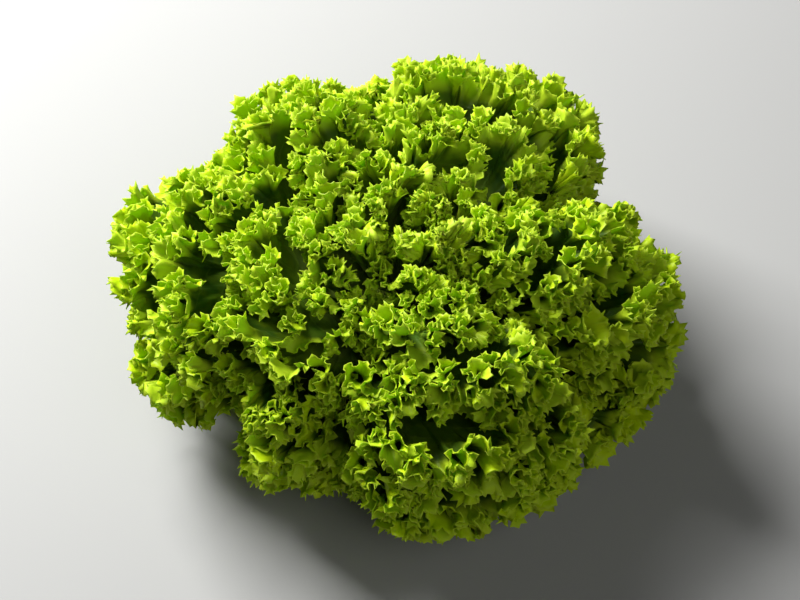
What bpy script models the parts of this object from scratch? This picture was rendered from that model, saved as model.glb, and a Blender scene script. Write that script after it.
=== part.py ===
"""A whole head of green leaf lettuce: a short cut stem and the frilled leaves that grow round it.

Lengths are in millimetres until a mesh is made, which is in metres. +Z is up, the front faces -Y, and the
origin is the centre of the stem's flat cut face, which the head stands on.

Each leaf lies on a bowl of its own, swept round the head from a profile that starts on the stem and ends
on the dome of the head. The bowls are nested, and a leaf's frill swings only half way to the next bowl
that passes it, so no leaf meets another however deep its frill is. Last, the head is swollen into
pillows and drawn in along creases, by one smooth scaling from its centre, and leans a little. Both move
all the leaves alike, so they stay apart.
"""

import math

import bpy
import numpy as np

MM = 0.001

# The head
LEAF_COUNT = 46
DIVERGENCE = math.radians(137.5)
FIRST_AZIMUTH = math.radians(-10.0)
AZIMUTH_SPREAD = 0.06
REACH_SPREAD = 0.022
EQUATOR_RADIUS = 136.0
EQUATOR_HEIGHT = 58.0
CREST_RISE = 82.0
UNDERSIDE_DROP = 61.0
ROUNDNESS = 0.85
FULLNESS = 0.9
LOWEST_TURN = math.radians(-30.0)
HIGHEST_TURN = math.radians(87.5)
HEART_DIP = 11.0
HEART_DIP_ONSET = 6
FLOOR_CLEARANCE = 1.0

# Its pillows: azimuth, elevation, spread (degrees) and rise (a share of the distance from the centre);
# where the rise is negative, the head has a dent instead
PILLOWS = (
    (-75, 25, 24, 0.08),
    (-12, 32, 24, 0.08),
    (-15, -11, 16, 0.11),
    (50, 32, 20, 0.07),
    (86, 42, 20, 0.11),
    (135, 40, 20, 0.13),
    (168, 15, 22, 0.09),
    (-152, 27, 22, 0.12),
    (18, 8, 18, -0.19),
    (-122, -28, 24, -0.20),
    (-152, -19, 10, 0.15),
)

# The creases between them: azimuth and elevation of each end, spread (degrees) and depth (a share, as above)
CREASES = (
    (-54, 58, -38, 5, 8, 0.32),
    (-128, 62, -98, -34, 8, 0.28),
    (-136, 20, -145, -28, 8, 0.24),
    (22, 62, 17, 6, 8, 0.27),
    (112, 52, 102, 20, 8, 0.26),
    (169, 48, 146, 10, 8, 0.18),
    (-169, -3, -166, -13, 6, 0.13),
)
CALM_CORE = (15.0, 60.0)
CALM_UNDERSIDE = (-0.85, -0.35)

# The head leans: its crown lies this far over, growing between these heights
LEAN = (13.0, -6.0)
LEAN_HEIGHTS = (60.0, 130.0)

# The stem
STEM_RADIUS = 17.0
STEM_FOOT = 0.97
STEM_SHOULDER = 6.0
STEM_HEIGHT = 46.0
STEM_TIP_RISE = 0.6
STEM_TURN = math.radians(84.0)
STEM_TAPER = 0.75
STEM_STEPS = 7
STEM_SIDES = 24
STEM_MERGE = 0.01
STEM_GAP = 0.35
STEM_COLOUR = (0.62, 0.72, 0.38)
STEM_ROUGHNESS = 0.45
LEAF_FEET = (0.02, 0.98)
FOOT_STEP = 0.01

# A leaf: its first value is for the outermost leaf, its second for the innermost
START_ANGLE = (math.radians(8.0), math.radians(86.0))
RISE_FROM_DOME = (math.radians(16.0), math.radians(2.0))
PROFILE_FULLNESS = 1.1
INWARD_CHANGE = 0.8
STALK_HALF_WIDTH = (12.0, 3.0)
STALK_THICKNESS = (3.2, 1.2)
STALK_TAPER = 0.35
STALK_FLATNESS = 0.85
STALK_END = 0.22
LEAF_HALF_WIDTH = (104.0, 44.0)
RIB_HALF_WIDTH = (7.0, 2.0)
RIB_END = 0.8
WIDEST_ANGLE = math.radians(72.0)
LEAST_WRAP = 2.0
BLADE_THICKNESS = 0.85
WIDENING = (0.04, 0.74)
ROUND_TOP = 0.74
TOP_ROUNDNESS = 2.4
SPINE_TOP = 0.56
FAN_CURVE = 1.2
LEAF_COLOUR = ((0.20, 0.38, 0.02), (0.42, 0.60, 0.06))
LEAF_ROUGHNESS = 0.4

# The frill
FRILL_DEPTH = (17.0, 8.0)
FRILL_WAVE = (40.0, 27.0)
FRILL_ONSET = (0.05, 0.36)
FRILL_THINNING = (0.35, 1.0)
THINNING_END = (0.15, 0.45)
FRILL_BAND = 54.0
FRILL_FLARE = 1.7
FRILL_WANDER = 1.1
FRILL_WANDER_RUN = 150.0
FRILL_SQUARENESS = 1.4
FINE_SHARE = 0.5
FINE_WAVE = 0.57
FINE_WANDER = 2.0
FINE_WANDER_RUN = 110.0
UNEVENNESS = 0.15
UNEVEN_RUN = 60.0
OVERHANG = 0.14
DRAW_IN = (9.0, 6.0)
LEAF_CLEARANCE = 1.55
NEIGHBOUR_MARGIN = 10.0
NEIGHBOUR_FADE = 14.0
LEAST_SLOPE = 0.3
WANDER_RATES = (1.0, 1.73, 2.91)
WANDER_REACH = 2.2

# The mesh: rows from the margin to the midrib, each with the step between the margin's columns it keeps
ROWS = ((1.0, 1), (0.8, 2), (0.5, 4), (0.25, 4), (0.0, 4))
COLUMNS_PER_WAVE = 4
PROFILE_STEPS = 160
PROFILE_RUN_ON = 30.0
MARGIN_STEPS = 1500
SEED = 11
PHASE_COUNT = 12


def mix(pair, share):
    """A value between the outermost leaf's and the innermost's."""
    return pair[0] + (pair[1] - pair[0]) * share


def smooth(low, high, value):
    """0 below low, 1 above high, and a smooth step between. Where low is the greater, it falls instead."""
    t = np.clip((value - low) / (high - low), 0.0, 1.0)
    return t * t * (3.0 - 2.0 * t)


def direction(azimuth, elevation):
    """The unit vector at this azimuth and elevation, in degrees."""
    turn, lift = math.radians(azimuth), math.radians(elevation)
    return np.array([math.cos(lift) * math.cos(turn), math.cos(lift) * math.sin(turn), math.sin(lift)])


def swelling(away):
    """How far out the head reaches in each direction, as a share of the plain dome."""
    scale = np.ones(away.shape[:-1])
    for azimuth, elevation, spread, rise in PILLOWS:
        apart = np.degrees(np.arccos(np.clip(away @ direction(azimuth, elevation), -1, 1)))
        scale += rise * np.exp(-((apart / spread) ** 2))
    for *ends, spread, depth in CREASES:
        first, last = direction(*ends[:2]), direction(*ends[2:])
        run = last - first
        share = np.clip((away - first) @ run / (run @ run), 0, 1)[..., None]
        nearest = first + run * share
        nearest /= np.linalg.norm(nearest, axis=-1, keepdims=True)
        apart = np.degrees(np.arccos(np.clip((away * nearest).sum(-1), -1, 1)))
        scale -= depth * np.exp(-((apart / spread) ** 2))
    return scale


def settle(points):
    """Moves points out with the head's pillows, in under its creases and over with its lean.
    Below the centre, heights stay."""
    centre = np.array([0.0, 0.0, EQUATOR_HEIGHT])
    offset = points - centre
    far = np.linalg.norm(offset, axis=-1)
    away = offset / np.maximum(far, 1e-6)[..., None]
    amount = smooth(*CALM_UNDERSIDE, away[..., 2]) * smooth(*CALM_CORE, far)
    moved = offset * (1.0 + (swelling(away) - 1.0) * amount)[..., None]
    moved[..., 2] = np.where(offset[..., 2] < 0, offset[..., 2], moved[..., 2])
    moved += centre
    moved[..., :2] += smooth(*LEAN_HEIGHTS, moved[..., 2:]) * np.array(LEAN)
    return moved


def stem_outline(share):
    """(radius, height) on the stem's side and rounded top, from the foot of its leaves to its tip."""
    turn = share * STEM_TURN
    radius = STEM_RADIUS * math.cos(turn) ** STEM_TAPER
    return radius, STEM_SHOULDER + (STEM_HEIGHT - STEM_SHOULDER) * math.sin(turn)


def dome_outline(rank, reach):
    """(radius, height) on the dome of the head, from its lowest leaf's tip to its heart's."""
    turn = mix((LOWEST_TURN, HIGHEST_TURN), rank)
    rise = abs(math.sin(turn)) ** FULLNESS * (CREST_RISE if turn > 0 else -UNDERSIDE_DROP)
    height = EQUATOR_HEIGHT + rise - HEART_DIP * rank**HEART_DIP_ONSET
    return EQUATOR_RADIUS * math.cos(turn) ** ROUNDNESS * reach, height


class Profile:
    """A leaf's midline in the upright plane through the stem: radius and height against length."""

    def __init__(self, rank, reach):
        foot = np.array(stem_outline(mix(LEAF_FEET, rank)))
        before = np.array(stem_outline(mix(LEAF_FEET, rank) - FOOT_STEP))
        along = (foot - before) / np.linalg.norm(foot - before)
        away = np.array([along[1], -along[0]])
        start = mix(START_ANGLE, rank**INWARD_CHANGE)
        heading = np.array([math.cos(start), math.sin(start)])
        foot = foot + away * (STEM_GAP + mix(STALK_THICKNESS, rank) / 2 * abs(along @ heading))
        tip = np.array(dome_outline(rank, reach))
        end = mix((LOWEST_TURN, HIGHEST_TURN), rank) + mix(RISE_FROM_DOME, rank)
        arrival = np.array([math.cos(end), math.sin(end)])
        span = np.linalg.norm(tip - foot) * PROFILE_FULLNESS
        t = np.linspace(0, 1, PROFILE_STEPS)[:, None]
        points = (
            (2 * t**3 - 3 * t**2 + 1) * foot
            + (t**3 - 2 * t**2 + t) * span * heading
            + (-2 * t**3 + 3 * t**2) * tip
            + (t**3 - t**2) * span * arrival
        )
        self.points = np.vstack([points, tip + arrival * PROFILE_RUN_ON])
        steps = np.linalg.norm(np.diff(self.points, axis=0), axis=1)
        self.length_at = np.concatenate([[0.0], np.cumsum(steps)])
        self.length = self.length_at[-2]
        slopes = np.gradient(self.points, self.length_at, axis=0)
        slopes /= np.linalg.norm(slopes, axis=1, keepdims=True)
        self.normals = np.stack([-slopes[:, 1], slopes[:, 0]], axis=1)

    def at(self, length):
        """(radius, height) points and their inward normals at these lengths."""
        found = [np.interp(length, self.length_at, column) for column in self.points.T]
        normal = [np.interp(length, self.length_at, column) for column in self.normals.T]
        return np.stack(found, -1), np.stack(normal, -1)


class Leaf:
    """One leaf's place, outline and frill."""

    def __init__(self, index):
        self.index = index
        self.rank = index / (LEAF_COUNT - 1)
        random = np.random.default_rng(SEED + index)
        self.azimuth = FIRST_AZIMUTH + index * DIVERGENCE + random.uniform(-AZIMUTH_SPREAD, AZIMUTH_SPREAD)
        self.profile = Profile(self.rank, 1.0 + random.uniform(-REACH_SPREAD, REACH_SPREAD))
        self.length = self.profile.length
        self.phases = random.uniform(0, 2 * math.pi, PHASE_COUNT)
        self.neighbours = []
        self.trace_margin()

    def half_width(self, length):
        """Half the leaf's width at this length, before it is wrapped round the head; below 0 past the tip."""
        share = length / self.length
        stalk = mix(STALK_HALF_WIDTH, self.rank)
        widest = mix(LEAF_HALF_WIDTH, self.rank**INWARD_CHANGE)
        body = stalk + (widest - stalk) * smooth(*WIDENING, share)
        past_widest = np.clip(share - ROUND_TOP, 0, None) / (1.0 - ROUND_TOP)
        top = np.clip(1.0 - past_widest**TOP_ROUNDNESS, 0, None) ** (1 / TOP_ROUNDNESS)
        return np.where(share > 1.0, -(share - 1.0) * self.length, body * top)

    def wrap_radius(self, length):
        """The radius that the leaf's width is wrapped round, so large that it doesn't close on itself."""
        point, _ = self.profile.at(length)
        return np.maximum(np.maximum(point[..., 0], LEAST_WRAP), self.half_width(length) / WIDEST_ANGLE)

    def trace_margin(self):
        """The margin from one side of the foot over the tip to the other: distance from the tip, across and
        length. The distance counts less beside the stalk, where the frill's waves are longer."""
        share = 1.0 - np.linspace(1, 0, MARGIN_STEPS) ** 2
        length = share * self.length
        across = np.maximum(self.half_width(length), 0.0)
        across[-1] = 0.0
        frilled = mix(FRILL_THINNING, smooth(*THINNING_END, share[1:]))
        run = np.concatenate([[0.0], np.cumsum(np.hypot(np.diff(across), np.diff(length)) * frilled)])
        self.side = run[-1]
        from_tip = run[-1] - run
        self.margin = np.array([
            np.concatenate([-from_tip, from_tip[-2::-1]]),
            np.concatenate([across, -across[-2::-1]]),
            np.concatenate([length, length[-2::-1]]),
        ])
        self.waves = 2 * round(self.side / mix(FRILL_WAVE, self.rank))

    def wander(self, along, scale, first):
        """A slow seeded waver between about -1 and 1."""
        turn = along * 2 * math.pi / scale
        parts = [np.sin(rate * turn + self.phases[first + k]) for k, rate in enumerate(WANDER_RATES)]
        return sum(parts) / WANDER_REACH

    def turn(self, from_tip):
        """The frill's phase along the margin: a whole number of waves, some longer than others."""
        share = (from_tip / self.side + 1.0) / 2
        drift = FRILL_WANDER * self.wander(from_tip, FRILL_WANDER_RUN, 0) * np.sin(math.pi * share)
        return 2 * math.pi * self.waves * share + drift

    def place(self, across, length, rise):
        """World points of the leaf: across and length on the flat leaf, rise towards the head's axis."""
        point, normal = self.profile.at(length)
        turn = self.azimuth + across / self.wrap_radius(length)
        radius = point[..., 0] + rise * normal[..., 0]
        height = point[..., 1] + rise * normal[..., 1]
        return settle(np.stack([radius * np.cos(turn), radius * np.sin(turn), height], -1))

    def meet(self, leaves):
        """Notes, along the profile, how far off each other leaf's profile is and its nearest place there."""
        own = self.profile.points[:, None, :]
        for other in leaves:
            if other is not self:
                apart = np.linalg.norm(own - other.profile.points, axis=2)
                nearest = other.profile.length_at[apart.argmin(axis=1)]
                self.neighbours.append((other, apart.min(axis=1), nearest))

    def room(self, across, length):
        """Half the way to the next leaf at each point, outwards and inwards, at most the frill's depth."""
        deepest = mix(FRILL_DEPTH, self.rank)
        point, normal = self.profile.at(length)
        turn = self.azimuth + across / self.wrap_radius(length)
        outward = np.full(across.shape, deepest)
        inward = np.full(across.shape, deepest)
        for other, apart, nearest in self.neighbours:
            half = np.minimum(np.interp(length, self.profile.length_at, apart) / 2, deepest)
            there = np.interp(length, self.profile.length_at, nearest)
            away = (turn - other.azimuth + math.pi) % (2 * math.pi) - math.pi
            beyond = np.abs(away) * other.wrap_radius(there) - other.half_width(there)
            cover = smooth(NEIGHBOUR_FADE, 0.0, beyond - NEIGHBOUR_MARGIN)
            limit = deepest + (half - deepest) * cover
            if other.index < self.index:
                outward = np.minimum(outward, limit)
            else:
                inward = np.minimum(inward, limit)
        floor = (point[..., 1] - FLOOR_CLEARANCE) / np.maximum(normal[..., 1], LEAST_SLOPE)
        return np.minimum(outward, floor), inward


def frill(leaf, from_tip, across, length, inset):
    """Swings the leaf's points to both sides of its bowl, and slips them along the margin and in from it."""
    _, edge_across, edge_length = leaf.margin
    lean = np.gradient(np.stack([edge_across, edge_length]), axis=1)
    lean /= np.maximum(np.linalg.norm(lean, axis=0), 1e-9)
    lean_across, lean_length = (np.interp(from_tip, leaf.margin[0], part) for part in lean)
    turn = leaf.turn(from_tip)
    wave = mix(FRILL_WAVE, leaf.rank)
    fine = 2 * math.pi * from_tip / (wave * FINE_WAVE)
    fine += FINE_WANDER * leaf.wander(from_tip, FINE_WANDER_RUN, 3)
    swing = np.tanh(FRILL_SQUARENESS * (np.sin(turn) + FINE_SHARE * np.sin(fine)))
    swing = np.clip(swing * (1.0 + UNEVENNESS * leaf.wander(from_tip, UNEVEN_RUN, 6)), -1.0, 1.0)
    grown = smooth(*FRILL_ONSET, np.interp(from_tip, leaf.margin[0], edge_length) / leaf.length)
    depth = np.clip(1.0 - inset / FRILL_BAND, 0.0, 1.0) ** FRILL_FLARE * grown
    slip = -OVERHANG * wave * depth * np.sin(2 * turn)
    draw = mix(DRAW_IN, leaf.rank) * depth * swing**2
    across = across + slip * lean_across - np.sign(across) * np.abs(lean_length) * draw
    length = np.maximum(length + slip * lean_length - np.abs(lean_across) * draw, 0.0)
    outward, inward = leaf.room(across, length)
    keep = BLADE_THICKNESS / 2 + LEAF_CLEARANCE
    rise = depth * swing * np.maximum(np.where(swing > 0, inward, outward) - keep, 0.0)
    return across, length, rise


def blade_thickness(leaf, across, length):
    """The leaf's thickness: its stalk and midrib, thinning out into the blade, clear of its neighbours."""
    share = length / leaf.length
    rib = np.exp(-((across / mix(RIB_HALF_WIDTH, leaf.rank)) ** 2)) * smooth(RIB_END, 0.0, share)
    thick = mix(STALK_THICKNESS, leaf.rank) * (1.0 - STALK_TAPER * share)
    body = np.maximum(rib, STALK_FLATNESS * smooth(STALK_END, 0.0, share))
    outward, inward = leaf.room(across, length)
    spare = 2.0 * (np.minimum(outward, inward) - LEAF_CLEARANCE / 2)
    wanted = BLADE_THICKNESS + (thick - BLADE_THICKNESS) * body
    return np.maximum(np.minimum(wanted, spare), BLADE_THICKNESS)


def leaf_surface(leaf):
    """The leaf's open mid surface: its points, their thickness, and its triangles."""
    count = leaf.waves * COLUMNS_PER_WAVE
    from_tip, across, length = leaf.margin
    turn = leaf.turn(from_tip)
    columns = np.interp(np.linspace(turn[0], turn[-1], count + 1), turn, from_tip)
    edge_across, edge_length = (np.interp(columns, from_tip, line) for line in (across, length))
    spine = SPINE_TOP * leaf.length * (1.0 - np.abs(columns) / leaf.side)
    reach = np.hypot(edge_across, edge_length - spine)
    points, thickness, rows = [], [], []
    for out, step in ROWS:
        kept = slice(None, None, step)
        x = (edge_across * out)[kept]
        s = (spine + (edge_length - spine) * out**FAN_CURVE)[kept]
        x, s, rise = frill(leaf, columns[kept], x, s, (reach * (1.0 - out))[kept])
        ids = np.arange(len(x))
        if out == 0.0:
            ids = np.minimum(ids, ids[::-1])
            x, s, rise = (line[: ids.max() + 1] for line in (x, s, rise))
        rows.append(ids + sum(len(part) for part in points))
        points.append(leaf.place(x, s, rise))
        thickness.append(blade_thickness(leaf, x, s))
    triangles = []
    for upper, lower in zip(rows, rows[1:]):
        if len(upper) == len(lower):
            for a, b, c, d in zip(upper, upper[1:], lower, lower[1:]):
                triangles += [(a, b, d), (a, d, c)]
        else:
            for k in range(len(lower) - 1):
                a, b, c = upper[2 * k : 2 * k + 3]
                d, e = lower[k], lower[k + 1]
                triangles += [(a, b, d), (b, e, d), (b, c, e)]
    triangles = [triangle for triangle in triangles if len(set(triangle)) == 3]
    return np.vstack(points), np.concatenate(thickness), triangles


def material(name, colour, roughness):
    """A plain Principled finish."""
    made = bpy.data.materials.new(name)
    made.use_nodes = True
    surface = made.node_tree.nodes["Principled BSDF"]
    surface.inputs["Base Color"].default_value = (*colour, 1.0)
    surface.inputs["Roughness"].default_value = roughness
    made.diffuse_color = (*colour, 1.0)
    return made


def make_leaf(leaf, collection):
    """A leaf: its open surface, with a Solidify modifier whose thickness follows a vertex group."""
    points, thickness, triangles = leaf_surface(leaf)
    name = f"leaf_{leaf.index + 1:02d}"
    mesh = bpy.data.meshes.new(name)
    mesh.from_pydata([tuple(point * MM) for point in points], [], triangles)
    colour = [mix(pair, leaf.rank) for pair in zip(*LEAF_COLOUR)]
    mesh.materials.append(material(name, colour, LEAF_ROUGHNESS))
    made = bpy.data.objects.new(name, mesh)
    collection.objects.link(made)
    group = made.vertex_groups.new(name="thickness")
    thickest = thickness.max()
    for k, thick in enumerate(thickness):
        group.add([k], float(thick / thickest), "REPLACE")
    shell = made.modifiers.new("thickness", "SOLIDIFY")
    shell.thickness = float(thickest) * MM
    shell.offset = 0.0
    shell.vertex_group = group.name
    return made


def make_stem(collection):
    """The stem: turned with Screw from its tip down its side to the rim and centre of the cut face."""
    side = [stem_outline(1.0 - k / STEM_STEPS) for k in range(STEM_STEPS + 1)]
    top = (0.0, side[0][1] + STEM_TIP_RISE)
    profile = [top, *side, (STEM_RADIUS * STEM_FOOT, 0.0), (0.0, 0.0)]
    mesh = bpy.data.meshes.new("stem")
    corners = [(radius * MM, 0.0, height * MM) for radius, height in profile]
    mesh.from_pydata(corners, [(k, k + 1) for k in range(len(corners) - 1)], [])
    mesh.materials.append(material("stem", STEM_COLOUR, STEM_ROUGHNESS))
    stem = bpy.data.objects.new("stem", mesh)
    collection.objects.link(stem)
    turned = stem.modifiers.new("turned", "SCREW")
    turned.steps = turned.render_steps = STEM_SIDES
    turned.use_merge_vertices = True
    turned.merge_threshold = STEM_MERGE * MM
    return stem


def main():
    for obj in list(bpy.data.objects):
        bpy.data.objects.remove(obj)
    head = bpy.data.collections.new("green_leaf_lettuce")
    bpy.context.scene.collection.children.link(head)
    make_stem(head)
    leaves = [Leaf(index) for index in range(LEAF_COUNT)]
    for leaf in leaves:
        leaf.meet(leaves)
        make_leaf(leaf, head)


main()
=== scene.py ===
"""Dresses the green leaf lettuce: each leaf gets its full frill, toothed margin, veins and finish, and the
stem gets its cut face.

Lengths in the code of the leaves and the stem are in millimetres, and every mesh is in metres. Each leaf has
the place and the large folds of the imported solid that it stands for. On these it has two finer levels of
folds, whose waves follow the real run of its margin, so that they are equally close wherever it goes.
"""

import math

import bpy
import numpy as np
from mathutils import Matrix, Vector


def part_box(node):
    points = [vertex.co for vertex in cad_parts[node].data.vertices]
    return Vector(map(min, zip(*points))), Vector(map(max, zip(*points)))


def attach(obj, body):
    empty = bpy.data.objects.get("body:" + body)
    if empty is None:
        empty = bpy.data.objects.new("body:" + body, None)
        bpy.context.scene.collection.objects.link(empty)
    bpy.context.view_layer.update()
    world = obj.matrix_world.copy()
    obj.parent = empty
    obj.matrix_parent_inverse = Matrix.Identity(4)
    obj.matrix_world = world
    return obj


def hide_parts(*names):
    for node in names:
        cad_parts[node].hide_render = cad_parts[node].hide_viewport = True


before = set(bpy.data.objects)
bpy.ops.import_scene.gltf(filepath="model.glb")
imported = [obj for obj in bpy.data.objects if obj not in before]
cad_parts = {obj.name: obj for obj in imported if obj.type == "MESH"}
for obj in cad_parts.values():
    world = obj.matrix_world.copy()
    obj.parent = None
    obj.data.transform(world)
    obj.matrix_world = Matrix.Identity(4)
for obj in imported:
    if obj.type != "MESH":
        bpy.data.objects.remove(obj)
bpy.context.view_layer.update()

bl_info = {
    "name": "Green leaf lettuce",
    "version": (1, 0, 0),
    "blender": (4, 5, 0),
    "location": "View3D > Sidebar > Lettuce",
    "description": "Finishes a head of green leaf lettuce: frilled leaves, stem and studio",
    "category": "Object",
}

MM = 0.001
BODY = "root"
LEAF_NODES = sorted(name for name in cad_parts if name.startswith("leaf_"))
HEART_LEAVES = 20

# The head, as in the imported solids
LEAF_COUNT = len(LEAF_NODES)
DIVERGENCE = math.radians(137.5)
FIRST_AZIMUTH = math.radians(-10.0)
AZIMUTH_SPREAD = 0.06
REACH_SPREAD = 0.022
EQUATOR_RADIUS = 136.0
EQUATOR_HEIGHT = 58.0
CREST_RISE = 82.0
UNDERSIDE_DROP = 61.0
ROUNDNESS = 0.85
FULLNESS = 0.9
LOWEST_TURN = math.radians(-30.0)
HIGHEST_TURN = math.radians(87.5)
HEART_DIP = 11.0
HEART_DIP_ONSET = 6
FLOOR_CLEARANCE = 1.0

# Its pillows: azimuth, elevation, spread (degrees) and rise (share of the distance from the centre)
PILLOWS = (
    (-75, 25, 24, 0.08),
    (-12, 32, 24, 0.08),
    (-15, -11, 16, 0.11),
    (50, 32, 20, 0.07),
    (86, 42, 20, 0.11),
    (135, 40, 20, 0.13),
    (168, 15, 22, 0.09),
    (-152, 27, 22, 0.12),
    (18, 8, 18, -0.19),
    (-122, -28, 24, -0.20),
    (-152, -19, 10, 0.15),
)

# The creases between them: azimuth and elevation of each end, spread (degrees) and depth (a share, as above)
CREASES = (
    (-54, 58, -38, 5, 8, 0.32),
    (-128, 62, -98, -34, 8, 0.28),
    (-136, 20, -145, -28, 8, 0.24),
    (22, 62, 17, 6, 8, 0.27),
    (112, 52, 102, 20, 8, 0.26),
    (169, 48, 146, 10, 8, 0.18),
    (-169, -3, -166, -13, 6, 0.13),
)
CALM_CORE = (15.0, 60.0)
CALM_UNDERSIDE = (-0.85, -0.35)
LEAN = (13.0, -6.0)
LEAN_HEIGHTS = (60.0, 130.0)

# The stem
STEM_RADIUS = 17.0
STEM_FOOT = 0.97
STEM_SHOULDER = 6.0
STEM_HEIGHT = 46.0
STEM_TURN = math.radians(84.0)
STEM_TAPER = 0.75
STEM_GAP = 0.35
STEM_SIDES = 96
STEM_SIDE_STEPS = 40
STEM_FACE_RINGS = 18
LEAF_FEET = (0.02, 0.98)
FOOT_STEP = 0.01
LOBE_RATES = (3, 5, 8, 13)
LOBE_DEPTH = 0.03
CUT_HEIGHT = 0.1
RING_PLACE = 0.72
RING_WIDTH = 1.4

# A leaf: its first value is for the outermost leaf, its second for the innermost
START_ANGLE = (math.radians(8.0), math.radians(86.0))
RISE_FROM_DOME = (math.radians(16.0), math.radians(2.0))
PROFILE_FULLNESS = 1.1
INWARD_CHANGE = 0.8
STALK_HALF_WIDTH = (12.0, 3.0)
STALK_THICKNESS = (3.2, 1.2)
STALK_TAPER = 0.35
STALK_FLATNESS = 0.85
STALK_END = 0.22
LEAF_HALF_WIDTH = (104.0, 44.0)
RIB_HALF_WIDTH = (7.0, 2.0)
RIB_END = 0.8
BLADE_THINNING = 12.0
WIDEST_ANGLE = math.radians(72.0)
LEAST_WRAP = 2.0
WIDENING = (0.04, 0.74)
ROUND_TOP = 0.74
TOP_ROUNDNESS = 2.4
SPINE_TOP = 0.56
FAN_CURVE = 1.2

# The large folds of its frill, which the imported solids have
FRILL_DEPTH = (17.0, 8.0)
FRILL_WAVE = (40.0, 27.0)
FRILL_ONSET = (0.05, 0.36)
FRILL_THINNING = (0.35, 1.0)
THINNING_END = (0.15, 0.45)
FRILL_BAND = 54.0
FRILL_FLARE = 1.7
FRILL_WANDER = 1.1
FRILL_WANDER_RUN = 150.0
FRILL_SQUARENESS = 1.4
FINE_SHARE = 0.5
FINE_WAVE = 0.57
FINE_WANDER = 2.0
FINE_WANDER_RUN = 110.0
UNEVENNESS = 0.15
UNEVEN_RUN = 60.0
OVERHANG = 0.14
DRAW_IN = (9.0, 6.0)
LEAF_CLEARANCE = 1.9
NEIGHBOUR_MARGIN = 10.0
NEIGHBOUR_FADE = 14.0
LEAST_SLOPE = 0.3
WANDER_RATES = (1.0, 1.73, 2.91)
WANDER_REACH = 2.2

# Its finer folds, which shrink towards the heart. Runs are in waves of the fold
FINE_SCALE = (1.0, 0.6)
LIP_BAND = 13.0
LIP_STEEPNESS = 1.5
WAVE_WANDER = 2.2
WAVE_WANDER_RUN = 3.75
SKEW_RUN = 2.3
SKEW_BAND = 12.0
DEPTH_SPREAD = 0.3
DEPTH_RUN = 2.0

# Its teeth: shares of the longest tooth, and how fast the row's height changes from column to column
TOOTH_BAND = 3.2
SHORTEST_TOOTH = 0.15
NOTCH_SHARE = 0.35
TOOTH_ASKEW = 0.35
LIVELY_LEVEL = 0.55
LIVELY_RATES = (0.23, 0.071)

# The mesh: the rows' distances from the margin, each with the step between the columns that it keeps
ROWS = (
    (0.0, 1),
    (1.7, 2),
    (3.8, 2),
    (6.8, 4),
    (10.5, 4),
    (15.5, 8),
    (22.0, 8),
    (32.0, 8),
    (48.0, 8),
    (1000.0, 8),
)
COARSEST_STEP = ROWS[-1][1]
COLUMN_STEP = (2.7, 1.7)
PROFILE_STEPS = 160
PROFILE_RUN_ON = 30.0
MARGIN_STEPS = 1500
TRACE_STEPS = 3000
TRACE_ROWS = (0.0, 1.5)
LOW_HEIGHT = 6.0
SEED = 11
PHASE_COUNT = 12
FINE_SEED = 411
FINE_PHASE_COUNT = 24
CURL_PHASES = 12
RUFFLE_PHASES = 21
TOOTH_PHASES = 33

# A leaf's colouring: distances from the margin, the midrib or the foot, between which each mark fades
# Painted shade: from this band inwards the leaf is painted darker, as the gaps between its folds are in shade
PAINTED_SHADE_BAND = (4.0, 13.0)
RIB_SIDES = (1.5, 6.0)
RIB_TOP = (20.0, 60.0)
STALK_FADE = (25.0, 75.0)
VEIN_ONSET = (3.0, 14.0)
VEIN_SLANT = 0.55
VEIN_SPACING = 7.0
VEIN_WIDTH = 0.9
VEIN_WAVER = 6.0
VEIN_WAVER_SIZE = 22.0
# Width of the painted highlight along the margin
EDGE_HIGHLIGHT_WIDTH = 0.7
BLISTER_SIZE = 7.0
PATCH_SIZE = 34.0
GRAIN_SIZE = 1.6
FRESHNESS = 1.25


def length_property(name, description, millimetres):
    """A length that a user can change, in metres."""
    return bpy.props.FloatProperty(
        name=name, description=description, default=millimetres * MM, min=0.0, unit="LENGTH", precision=4
    )


def colour_property(name, description, colour):
    """A colour that a user can change."""
    return bpy.props.FloatVectorProperty(
        name=name, description=description, default=colour, min=0.0, max=1.0, size=3, subtype="COLOR"
    )


class LettuceFrill(bpy.types.PropertyGroup):
    """The sizes of a leaf's finer folds and teeth, as they are on the outermost leaves."""

    curl_wave: length_property("Curl length", "Run of the margin in each curl", 19.0)
    curl_depth: length_property("Curl depth", "How far a curl swings to each side", 9.5)
    ruffle_wave: length_property("Ruffle length", "Run of the margin in each ruffle", 11.0)
    ruffle_depth: length_property("Ruffle depth", "How far a ruffle swings to each side", 2.2)
    tooth_length: length_property("Tooth length", "Length of the margin's longest teeth", 4.2)
    thickness: length_property("Blade thickness", "Thickness of the blade at the margin", 0.32)


class LettuceColours(bpy.types.PropertyGroup):
    """The colours of the leaves and the stem, with the leaves' painted shade and painted highlight."""

    blade: colour_property("Blade", "Leaf near its margin", (0.61, 0.79, 0.004))
    # Partly the leaf's own deeper green inside, partly painted shade of the gaps between its folds
    inner_blade_and_shade: colour_property("Inner blade", "Leaf away from its margin", (0.012, 0.065, 0.0008))
    # Painted highlight on the thin edge, where it catches the light
    margin: colour_property("Margin", "The thin pale edge", (0.74, 0.80, 0.14))
    rib: colour_property("Rib", "Stalk, midrib and veins", (0.48, 0.60, 0.14))
    glow: colour_property("Glow", "Light that comes through a leaf", (0.41, 0.76, 0.006))
    stem_skin: colour_property("Stem side", "Side of the stem", (0.55, 0.64, 0.30))
    stem_cut: colour_property("Stem cut", "Cut face of the stem", (0.72, 0.66, 0.44))


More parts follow.
